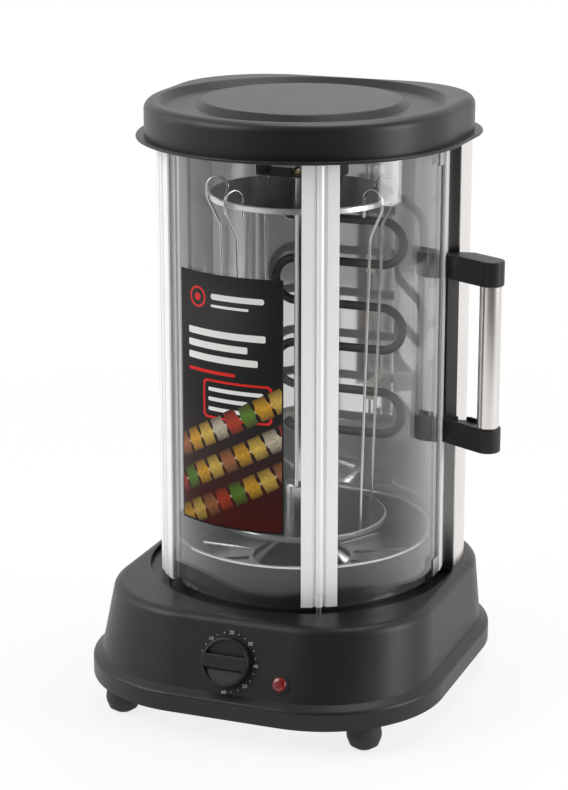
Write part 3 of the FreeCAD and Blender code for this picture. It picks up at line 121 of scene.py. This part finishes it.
class Finish:
    """One material and the nodes that make it."""

    def __init__(self, name):
        self.material = bpy.data.materials.new(name)
        self.material.use_nodes = True
        self.start(self.material.node_tree, "Object")

    def start(self, tree, coordinates):
        self.tree = tree
        self.tree.nodes.clear()
        self.place = self.add("ShaderNodeTexCoord").outputs[coordinates]

    @classmethod
    def on_tree(cls, tree, coordinates):
        """A maker for nodes that aren't a material's, such as the world's."""
        maker = cls.__new__(cls)
        maker.start(tree, coordinates)
        return maker

    def add(self, kind, settings=None, inputs=None):
        """A node with its settings made first, then its sockets filled or linked."""
        node = self.tree.nodes.new(kind)
        for name, setting in (settings or {}).items():
            if name == "stops":
                self.set_stops(node.color_ramp, setting)
            else:
                setattr(node, name, setting)
        for name, given in (inputs or {}).items():
            given = given.socket if isinstance(given, Value) else given
            if isinstance(given, bpy.types.NodeSocket):
                self.tree.links.new(given, node.inputs[name])
            else:
                node.inputs[name].default_value = given
        return node

    @staticmethod
    def set_stops(ramp, stops):
        while len(ramp.elements) < len(stops):
            ramp.elements.new(1.0)
        for element, (position, colour) in zip(ramp.elements, stops):
            element.position = position
            element.color = (*colour, 1.0)

    def axes(self):
        """The three object coordinates as values."""
        parts = self.add("ShaderNodeSeparateXYZ", None, {0: self.place}).outputs
        return [Value(self, part) for part in parts]

    def noise(self, scale, stretch=(1, 1, 1), detail=3.0, rough=0.5):
        """Noise in 0 to 1 on the object's coordinates."""
        spot = self.add("ShaderNodeMapping", None, {"Vector": self.place, "Scale": stretch})
        node = self.add("ShaderNodeTexNoise", None, {"Vector": spot.outputs[0], "Scale": scale,
                                                     "Detail": detail, "Roughness": rough})
        return Value(self, node.outputs[0])

    def rings(self, scale):
        """Fine turned lines round the Z axis, in 0 to 1."""
        x, y, z = self.axes()
        radius = (x * x + y * y).one("SQRT")
        node = self.add("ShaderNodeTexNoise", {"noise_dimensions": "1D"},
                        {"W": radius * scale, "Scale": 1.0, "Detail": 2.0})
        return Value(self, node.outputs[0])

    def blend(self, factor, first, second):
        """Colour between two colours."""
        node = self.add("ShaderNodeMix", {"data_type": "RGBA"},
                        {0: factor, 6: self.colour(first), 7: self.colour(second)})
        return node.outputs[2]

    @staticmethod
    def colour(given):
        return (*given, 1.0) if isinstance(given, tuple) and len(given) == 3 else given

    def ramp(self, factor, stops, interpolation="LINEAR"):
        node = self.add("ShaderNodeValToRGB", {"stops": stops}, {0: factor})
        node.color_ramp.interpolation = interpolation
        return node.outputs[0]

    def bump(self, height, distance, strength=1.0):
        node = self.add("ShaderNodeBump", None, {"Height": height, "Distance": distance,
                                                 "Strength": strength})
        return node.outputs[0]

    def shader(self, colour, roughness, metallic=0.0, normal=None, **others):
        """Principled shader; the other sockets are named with underscores for spaces."""
        inputs = {"Base Color": self.colour(colour), "Roughness": roughness, "Metallic": metallic}
        inputs.update({name.replace("_", " "): value for name, value in others.items()})
        if normal is not None:
            inputs["Normal"] = normal
        return self.add("ShaderNodeBsdfPrincipled", None, inputs).outputs[0]

    def done(self, shader):
        self.add("ShaderNodeOutputMaterial", None, {"Surface": shader})
        return self.material


# ---- finishes --------------------------------------------------------------------------

def black_enamel():
    """Satin black paint on pressed steel: orange peel, faint clouding and rubbed spots."""
    make = Finish("black enamel")
    peel = make.noise(900, detail=2.0)
    cloud = make.noise(14, detail=4.0)
    colour = make.blend(cloud, (0.008, 0.008, 0.0082), (0.014, 0.0135, 0.0138))
    rough = 0.32 + cloud * 0.08 + make.noise(160, detail=5.0) * 0.05
    normal = make.bump(peel, 0.00006, 0.35)
    return make.done(make.shader(colour, rough, normal=normal, Specular_IOR_Level=0.36))


def black_plastic():
    """Moulded black plastic with a fine spark texture."""
    make = Finish("black moulded plastic")
    grain = make.noise(2600, detail=2.0)
    cloud = make.noise(30, detail=3.0)
    colour = make.blend(cloud, (0.007, 0.007, 0.007), (0.013, 0.013, 0.013))
    return make.done(make.shader(colour, 0.34 + cloud * 0.12, Specular_IOR_Level=0.36,
                                 normal=make.bump(grain, 0.00005, 0.4)))


def foot_rubber():
    """Dull rubber with a film of dust."""
    make = Finish("foot rubber")
    dust = make.noise(120, detail=5.0)
    colour = make.blend(dust, (0.010, 0.010, 0.010), (0.028, 0.027, 0.026))
    return make.done(make.shader(colour, 0.55 + dust * 0.2,
                                 normal=make.bump(dust, 0.0001, 0.5)))


def brushed(name, light, dark, rough, stretch, scale=1.0):
    """Brushed metal whose scratches run along the axis with the small stretch."""
    make = Finish(name)
    lines = make.noise(scale, stretch, detail=4.0, rough=0.65)
    cloud = make.noise(9, detail=2.0)
    colour = make.blend(lines * 0.6 + cloud * 0.4, dark, light)
    normal = make.bump(lines, 0.00004, 0.25)
    return make.done(make.shader(colour, rough + lines * 0.14, 1.0, normal))


def disc_steel(name, rim_radius):
    """Skewer disc: dark face with turned lines and a bright pressed rim."""
    make = Finish(name)
    x, y, z = make.axes()
    rim = (x * x + y * y).one("SQRT") > rim_radius
    lines = make.rings(2500)
    cloud = make.noise(22, detail=4.0)
    face = make.blend(lines * 0.4 + cloud * 0.6, (0.050, 0.050, 0.052), (0.105, 0.103, 0.100))
    colour = make.blend(rim, face, (0.84, 0.83, 0.82))
    normal = make.bump(lines, 0.00003, 0.3)
    return make.done(make.shader(colour, 0.20 + cloud * 0.1, 0.9, normal))


def turned_metal(name, light, dark, rough, scale=2500):
    """Metal with fine lines round the turning axis."""
    make = Finish(name)
    lines = make.rings(scale)
    cloud = make.noise(18, detail=3.0)
    colour = make.blend(lines * 0.5 + cloud * 0.5, dark, light)
    normal = make.bump(lines, 0.00003, 0.3)
    return make.done(make.shader(colour, rough + cloud * 0.1, 1.0, normal))


def mirror_sheet():
    """Bright rolled sheet, faintly wavy, with soft stains from heat and fat."""
    make = Finish("mirror sheet")
    wave = make.noise(7, (1, 1, 0.35), detail=1.0)
    stain = make.noise(26, detail=5.0)
    colour = make.blend(stain, (0.86, 0.855, 0.85), (0.93, 0.925, 0.92))
    normal = make.bump(wave, 0.004, 0.07)
    return make.done(make.shader(colour, 0.03 + stain * 0.06, 0.66, normal))


def tray_sheet():
    """Polished tray with a painted dark reflection on its outer wall, drawing lines and a few dull
    spots.
    """
    make = Finish("tray sheet")
    x, y, z = make.axes()
    lines = make.rings(1500)
    stain = make.noise(45, detail=5.0)
    # mask of the outer wall below the rim, where the painted dark reflection of the black base goes
    wall = ((x * x + y * y).one("SQRT") > TRAY_WALL_RADIUS) * (z < TRAY_WALL_TOP)
    bright = make.blend(stain, (0.50, 0.495, 0.485), (0.78, 0.775, 0.765))
    # painted dark reflection colour for the outer wall, not a coat of the tray
    dark = make.blend(stain, (0.050, 0.050, 0.051), (0.075, 0.074, 0.074))
    colour = make.blend(wall, bright, dark)
    normal = make.bump(lines, 0.00003, 0.3)
    rough = 0.10 + stain * 0.14 + wall * 0.18
    return make.done(make.shader(colour, rough, 1.0 - wall * 0.6, normal))


def profile_aluminium():
    """Satin anodised extrusion: fine lines along its length."""
    make = Finish("profile aluminium")
    lines = make.noise(1, (1800, 1800, 5), detail=3.0, rough=0.6)
    cloud = make.noise(12, detail=3.0)
    colour = make.blend(cloud, (0.88, 0.88, 0.885), (0.94, 0.94, 0.945))
    normal = make.bump(lines, 0.00004, 0.3)
    return make.done(make.shader(colour, 0.34 + lines * 0.12, 0.20, normal))


def pane_glass():
    """Thin clear pane: see-through straight on, reflecting more at low angles."""
    make = Finish("pane glass")
    smear = make.noise(16, (1, 1, 0.6), detail=4.0)
    edge = Value(make, make.add("ShaderNodeLayerWeight", None, {"Blend": 0.5}).outputs["Facing"])
    clear = make.add("ShaderNodeBsdfTransparent", None, {"Color": (0.965, 0.97, 0.968, 1.0)})
    smoky = make.add("ShaderNodeBsdfTransparent", None, {"Color": (0.50, 0.52, 0.51, 1.0)})
    gloss = make.shader((0.95, 0.95, 0.95), smear * 0.02, 1.0)
    body = make.add("ShaderNodeMixShader", None,
                    {0: edge.one("POWER", 5.0), 1: clear.outputs[0], 2: smoky.outputs[0]})
    mixed = make.add("ShaderNodeMixShader", None,
                     {0: edge.one("POWER", 2.5) * 0.7 + 0.02, 1: body.outputs[0], 2: gloss})
    return make.done(mixed.outputs[0])


def heater_sheath():
    """Heat-darkened steel tube with bluish and brown clouds."""
    make = Finish("heater sheath")
    cloud = make.noise(60, detail=5.0)
    colour = make.ramp(cloud, [(0.30, (0.045, 0.043, 0.043)), (0.5, (0.075, 0.070, 0.066)),
                               (0.72, (0.11, 0.098, 0.088))])
    return make.done(make.shader(colour, 0.42 + cloud * 0.16, 0.7,
                                 make.bump(make.noise(900, detail=3.0), 0.00005, 0.3)))


def ceramic():
    """Cream heater bushes with dark specks."""
    make = Finish("ceramic")
    speck = make.noise(500, detail=4.0)
    colour = make.blend(speck, (0.72, 0.69, 0.62), (0.84, 0.82, 0.76))
    return make.done(make.shader(colour, 0.5 + speck * 0.15,
                                 normal=make.bump(speck, 0.0001, 0.4)))


def white_plastic():
    """Off-white moulded plastic of the timer and the terminals."""
    make = Finish("white plastic")
    grain = make.noise(1500, detail=2.0)
    colour = make.blend(make.noise(20), (0.62, 0.61, 0.60), (0.74, 0.73, 0.72))
    return make.done(make.shader(colour, 0.35 + grain * 0.1,
                                 normal=make.bump(grain, 0.00004, 0.3)))


def red_lens():
    """Clear red cap over a dark lamp, with moulded facets."""
    make = Finish("red lens")
    facets = make.noise(700, detail=1.0)
    colour = make.blend(facets, (0.05, 0.001, 0.001), (0.28, 0.006, 0.006))
    normal = make.bump(facets, 0.0004, 0.4)
    return make.done(make.shader(colour, 0.16 + facets * 0.08, normal=normal, Coat_Weight=0.5,
                                 Coat_Roughness=0.08))


FINISHES = {
    "black enamel": black_enamel(),
    "black plastic": black_plastic(),
    "rubber": foot_rubber(),
    "cover steel": brushed("cover steel", (0.86, 0.83, 0.80), (0.70, 0.67, 0.64), 0.20,
                           (900, 900, 7)),
    "post steel": brushed("side post steel", (0.24, 0.235, 0.23), (0.13, 0.128, 0.126), 0.16,
                          (900, 900, 7)),
    "zinc": brushed("zinc plated steel", (0.62, 0.62, 0.63), (0.46, 0.46, 0.47), 0.30,
                    (150, 150, 150)),
    "bar steel": brushed("bar steel", (0.84, 0.81, 0.78), (0.66, 0.63, 0.61), 0.10,
                         (40, 40, 1600)),
    "skewer steel": brushed("skewer steel", (0.78, 0.77, 0.76), (0.60, 0.59, 0.58), 0.16,
                            (300, 300, 40)),
    "upper disc": disc_steel("upper disc steel", UPPER_DISC_RIM),
    "lower disc": disc_steel("lower disc steel", LOWER_DISC_RIM),
    "spindle steel": turned_metal("spindle steel", (0.74, 0.73, 0.72), (0.55, 0.54, 0.53), 0.16),
    "mirror sheet": mirror_sheet(),
    "tray sheet": tray_sheet(),
    "profile": profile_aluminium(),
    "glass": pane_glass(),
    "heater": heater_sheath(),
    "ceramic": ceramic(),
    "white plastic": white_plastic(),
    "red lens": red_lens(),
    "motor steel": turned_metal("motor steel", (0.50, 0.50, 0.51), (0.36, 0.36, 0.37), 0.35),
    "brass": turned_metal("turned brass", (0.70, 0.52, 0.25), (0.55, 0.39, 0.18), 0.25),
}

NODE_FINISHES = {
    "black enamel": ["base_shell", "lid", "bearing_bracket"],
    "post steel": ["side_post_left", "side_post_right"],
    "black plastic": ["timer_knob", "handle_arm_upper", "handle_arm_lower", "handle_back_plate",
                      "cord_bush", "lamp_holder"],
    "rubber": ["foot_front_left", "foot_front_right", "foot_rear_left", "foot_rear_right"],
    "cover steel": ["rear_cover"],
    "zinc": ["bottom_plate", "machine_screws", "threaded_pillars", "cover_screws", "post_nuts",
             "timer_shaft", "motor_shaft", "hinge_post_left", "hinge_post_right", "top_plate",
             "handle_screws", "door_corner_clips"],
    "bar steel": ["handle_bar"],
    "skewer steel": ["skewer_%d" % number for number in range(1, 8)],
    "upper disc": ["upper_disc"],
    "lower disc": ["lower_disc"],
    "spindle steel": ["lower_collar", "spindle", "drive_tube"],
    "mirror sheet": ["reflector"],
    "tray sheet": ["drip_tray"],
    "profile": ["front_profile_left", "front_profile_right", "left_profile_front",
                "left_profile_rear", "door_profile_front", "door_profile_rear"],
    "glass": ["front_glass", "left_glass", "door_glass"],
    "heater": ["heater"],
    "ceramic": ["heater_ceramics"],
    "white plastic": ["timer_body", "terminal_block"],
    "red lens": ["lamp_lens"],
    "motor steel": ["gear_motor"],
    "brass": ["spindle_bush", "upper_bush"],
}


def dress_nodes():
    """Give every node of the frame its finish."""
    for finish, names in NODE_FINISHES.items():
        for name in names:
            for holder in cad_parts[name].material_slots:
                holder.material = FINISHES[finish]


# ---- pieces ----------------------------------------------------------------------------

def new_piece(name, mesh_maker, material, body):
    """Mesh object from a bmesh, with its material, riding on a body."""
    mesh = bpy.data.meshes.new(name)
    mesh_maker.to_mesh(mesh)
    mesh_maker.free()
    return dressed(bpy.data.objects.new(name, mesh), material, body)


def dressed(piece, material, body):
    """The piece, linked, with its material, slot and body."""
    bpy.context.scene.collection.objects.link(piece)
    piece.data.materials.clear()
    piece.data.materials.append(material)
    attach(piece, body)
    return piece


def smooth(mesh_maker):
    """Shade every face of the bmesh as part of a curve."""
    for face in mesh_maker.faces:
        face.smooth = True


def label_print():
    """Printed label: dark ground, plain bars, a red frame and three skewers of bright pieces."""
    make = Finish("label print")
    x, y, z = make.axes()
    across = x.one("ARCTAN2", y * -1.0) * (PANE_RADIUS * 1000) - LABEL_CENTRE
    up = z * 1000 - LABEL_MIDDLE

    def field(middle_x, middle_y, half_x, half_y, corner):
        """1 inside a rounded rectangle, in millimetres."""
        dx = ((across - middle_x).one("ABSOLUTE") - (half_x - corner)).most(0.0)
        dy = ((up - middle_y).one("ABSOLUTE") - (half_y - corner)).most(0.0)
        return (dx * dx + dy * dy).one("SQRT") < corner

    def disc(middle_x, middle_y, radius):
        dx, dy = across - middle_x, up - middle_y
        return (dx * dx + dy * dy).one("SQRT") < radius

    paper = make.noise(40, detail=3.0)
    ink = make.blend(paper, (0.006, 0.0055, 0.006), (0.012, 0.011, 0.011))
    glow = (1.0 - ((up + LABEL_TALL) / 110.0)).most(0.0).one("POWER", 2.2)
    ink = make.blend(glow * 0.8, ink, (0.10, 0.012, 0.008))
    white, red = (0.72, 0.72, 0.70), (0.60, 0.018, 0.014)
    ring = disc(-26.0, 78.0, 8.0) - disc(-26.0, 78.0, 6.3)
    ink = make.blend(ring + disc(-26.0, 78.0, 3.0), ink, red)
    for middle_y, half_x, half_y in ((80.0, 22.0, 2.2), (73.0, 16.0, 1.0)):
        ink = make.blend(field(half_x - 13.0, middle_y, half_x, half_y, half_y * 0.9), ink, white)
    for number, half_x in enumerate((34.0, 27.0, 31.0)):
        ink = make.blend(field(half_x - 36.0, 52.0 - 9.5 * number, half_x, 2.6, 1.2), ink, white)
    ink = make.blend(field(-14.0, 22.5, 22.0, 1.3, 1.2), ink, red)
    frame_line = field(8.0, 2.0, 29.0, 15.0, 4.0) - field(8.0, 2.0, 27.2, 13.2, 3.0)
    ink = make.blend(frame_line, ink, red)
    for number, half_x in enumerate((23.0, 17.0, 20.0)):
        ink = make.blend(field(half_x - 16.0, 9.5 - 7.5 * number, half_x, 1.5, 1.2), ink, white)
    ink = skewer_print(make, across, up, ink)
    edge = 1.0 - field(0.0, 0.0, LABEL_HALF - 1.2, LABEL_TALL - 1.5, 1.5)
    ink = make.blend(edge, ink, (0.012, 0.011, 0.012))
    return make.done(make.shader(ink, 0.46 + paper * 0.1, Specular_IOR_Level=0.18))


def skewer_print(make, across, up, ink):
    """Three slanting rows of round and square pieces in vegetable colours."""
    slant_x, slant_y = cos(radians(ROW_SLANT)), sin(radians(ROW_SLANT))
    along = across * slant_x + up * slant_y
    rows = (up * slant_x - across * slant_y + 77.0) / ROW_PITCH
    row = rows.one("FLOOR")
    aside = (rows - row - 0.5) * ROW_PITCH
    inside = (rows > 0.0) * (rows < 3.0)
    ink = make.blend((aside.one("ABSOLUTE") < 0.8) * inside, ink, (0.45, 0.44, 0.42))
    steps = (along + row * 9.0 + 300.0) / PIECE_PITCH
    piece = steps.one("FLOOR")
    within = (steps - piece - 0.5) * PIECE_PITCH
    kind = ((piece + row * 2.0) * 0.381966).one("FRACT")
    wobble = (make.noise(90, detail=2.0) - 0.5) * 3.0
    round_piece = ((within * within + aside * aside).one("SQRT") + wobble) < 6.4
    tall = (aside.one("ABSOLUTE") + wobble) < 9.0
    flat = ((within.one("ABSOLUTE") + wobble * 0.4) < 5.3) * tall
    shape = flat.most(round_piece) * inside
    stops = [(0.0, (0.78, 0.42, 0.03)), (0.22, (0.52, 0.05, 0.02)), (0.40, (0.80, 0.55, 0.10)),
             (0.58, (0.10, 0.26, 0.03)), (0.74, (0.42, 0.16, 0.06)), (0.88, (0.66, 0.60, 0.45))]
    flesh = make.ramp(kind, stops, "CONSTANT")
    grains = make.noise(420, detail=3.0)
    flesh = make.blend(grains * 0.75, flesh, (0.08, 0.03, 0.015))
    rim = (1.0 - (aside.one("ABSOLUTE") / 9.0)).most(0.0).one("POWER", 0.6)
    flesh = make.blend(1.0 - rim, flesh, (0.03, 0.012, 0.008))
    return make.blend(shape, ink, flesh)


def make_label():
    """Thin printed sheet that follows the curve of the front pane."""
    sheet = bmesh.new()
    bmesh.ops.create_grid(sheet, x_segments=40, y_segments=2, size=1.0)
    middle, half = (LABEL_LEFT + LABEL_RIGHT) / 2, (LABEL_RIGHT - LABEL_LEFT) / 2
    height_middle, height_half = (LABEL_LOW + LABEL_HIGH) / 2, (LABEL_HIGH - LABEL_LOW) / 2
    for corner in sheet.verts:
        turn = middle + half * corner.co.x
        corner.co = polar(PANE_RADIUS + 0.00005, turn, height_middle + height_half * corner.co.y)
    smooth(sheet)
    bmesh.ops.recalc_face_normals(sheet, faces=sheet.faces)
    label = new_piece("front_label", sheet, label_print(), "frame")
    thick = label.modifiers.new("thickness", "SOLIDIFY")
    thick.thickness = LABEL_THICK
    thick.offset = 1.0


def panel_matrix():
    """From the dial's own plane (X right, Y up the panel) to the object."""
    return Matrix.Translation(KNOB_PLACE) @ Matrix.Rotation(pi / 2 - PANEL_LEAN, 4, "X")


def dial_ink():
    """Worn pale print of the dial."""
    make = Finish("dial ink")
    wear = make.noise(900, detail=3.0)
    colour = make.blend(wear, (0.42, 0.43, 0.46), (0.60, 0.61, 0.64))
    return make.done(make.shader(colour, 0.45 + wear * 0.1))


def make_dial_marks():
    """Numbers of minutes and the dots between them, printed round the knob."""
    ink = dial_ink()
    for number in range(6):
        turn = radians(FIRST_MARK + MARK_STEP * number)
        words = bpy.data.curves.new("dial_number", "FONT")
        words.body = str(10 * (number + 1))
        words.size = NUMBER_SIZE
        words.extrude = MARK_THICK / 2
        words.align_x = "CENTER"
        words.align_y = "CENTER"
        holder = bpy.data.objects.new("dial_number_curve", words)
        mesh = bpy.data.meshes.new_from_object(holder)
        bpy.data.objects.remove(holder)
        spot = Vector((sin(turn), cos(turn), 0)) * MARK_RADIUS + Vector((0, 0, MARK_THICK))
        mesh.transform(panel_matrix() @ Matrix.Translation(spot))
        piece = bpy.data.objects.new("dial_number_%d" % (10 * (number + 1)), mesh)
        dressed(piece, ink, "frame")
    dots = bmesh.new()
    for number in range(-1, 5):
        for share in (1 / 3, 2 / 3):
            turn = radians(FIRST_MARK + MARK_STEP * (number + share))
            spot = Vector((sin(turn), cos(turn), 0)) * MARK_RADIUS + Vector((0, 0, MARK_THICK))
            bmesh.ops.create_cone(dots, cap_ends=True, segments=16, radius1=DOT_RADIUS,
                                  radius2=DOT_RADIUS, depth=MARK_THICK,
                                  matrix=panel_matrix() @ Matrix.Translation(spot))
    new_piece("dial_dots", dots, ink, "frame")


# ---- studio ----------------------------------------------------------------------------

def seen_as_background(make):
    """1 for rays from the camera and through glass."""
    path = make.add("ShaderNodeLightPath").outputs
    return Value(make, path["Is Camera Ray"]).most(Value(make, path["Is Transmission Ray"]))


def seen_in_gloss(make):
    """1 for rays that left a shiny surface."""
    return Value(make, make.add("ShaderNodeLightPath").outputs["Is Glossy Ray"])


def dim_side(make, x, y):
    """Colour of the studio's walls for gloss: dim on the open side, white elsewhere."""
    away = (x * x + y * y).one("SQRT").most(0.001)
    behind = (x * -sin(radians(CAMERA_TURN)) + y * cos(radians(CAMERA_TURN))) / away
    return make.ramp(behind * 0.5 + 0.5, [(0.0, (0.10, 0.10, 0.10)), (0.05, (0.13, 0.13, 0.13)),
                                          (0.20, (0.70, 0.70, 0.70)), (0.5, (0.85, 0.85, 0.85)),
                                          (0.72, (1.0, 1.0, 1.0))])


def make_world():
    """White round the object; gloss sees it white behind and dim on the open side of the studio."""
    world = bpy.data.worlds.new("studio")
    bpy.context.scene.world = world
    world.use_nodes = True
    make = Finish.on_tree(world.node_tree, "Generated")
    x, y, z = make.axes()
    dim = dim_side(make, x, y)
    light = make.add("ShaderNodeBackground", None,
                     {"Color": (1, 1, 1, 1), "Strength": WORLD_STRENGTH})
    gloss = make.add("ShaderNodeBackground", None, {"Color": dim, "Strength": 1.0})
    white = make.add("ShaderNodeBackground", None, {"Color": (1, 1, 1, 1), "Strength": 1.0})
    soft = make.add("ShaderNodeMixShader", None,
                    {0: seen_in_gloss(make), 1: light.outputs[0], 2: gloss.outputs[0]})
    whole = make.add("ShaderNodeMixShader", None,
                     {0: seen_as_background(make), 1: soft.outputs[0], 2: white.outputs[0]})
    make.add("ShaderNodeOutputWorld", None, {"Surface": whole.outputs[0]})


def make_floor():
    """Round pale floor that stays white for the eye and keeps the object's shadow."""
    plane = bmesh.new()
    bmesh.ops.create_circle(plane, cap_ends=True, segments=96, radius=FLOOR_RADIUS)
    mesh = bpy.data.meshes.new("floor")
    plane.to_mesh(mesh)
    plane.free()
    floor = bpy.data.objects.new("floor", mesh)
    bpy.context.scene.collection.objects.link(floor)
    make = Finish("pale floor")
    x, y, z = make.axes()
    away = ((x * x + y * y).one("SQRT") - FLOOR_NEAR) / FLOOR_FADE
    paint = make.add("ShaderNodeBsdfDiffuse", None, {"Color": (0.90, 0.90, 0.90, 1)})
    white = make.add("ShaderNodeEmission", None, {"Color": (1, 1, 1, 1), "Strength": 1.0})
    share = (away * 0.2 + 0.8).least(1.0).most(0.8)
    share = share * seen_as_background(make) + seen_in_gloss(make) * 0.6
    mixed = make.add("ShaderNodeMixShader", None,
                     {0: share, 1: paint.outputs[0], 2: white.outputs[0]})
    floor.data.materials.append(make.done(mixed.outputs[0]))


def soft_light(name, place, size, power):
    """Soft box that points at the middle of the object."""
    data = bpy.data.lights.new(name, "AREA")
    data.shape = "RECTANGLE"
    data.size, data.size_y = size
    data.energy = power
    lamp = bpy.data.objects.new(name, data)
    lamp.location = place
    lamp.rotation_euler = (Vector(LIGHTS_AIM) - Vector(place)).to_track_quat("-Z", "Y").to_euler()
    bpy.context.scene.collection.objects.link(lamp)


def make_studio():
    make_world()
    make_floor()
    for light in LIGHTS:
        soft_light(*light)


def make_camera():
    """Long lens from the right front, a little above the lid."""
    data = bpy.data.cameras.new("camera")
    data.lens = CAMERA_LENS
    data.sensor_width = 36.0
    data.clip_end = 30.0
    camera = bpy.data.objects.new("camera", data)
    camera.location = CAMERA_PLACE
    camera.rotation_euler = (radians(CAMERA_PITCH), 0, radians(CAMERA_TURN))
    bpy.context.scene.collection.objects.link(camera)
    bpy.context.scene.camera = camera
    bpy.context.scene.view_settings.view_transform = "Standard"


dress_nodes()
make_label()
make_dial_marks()
make_camera()
make_studio()
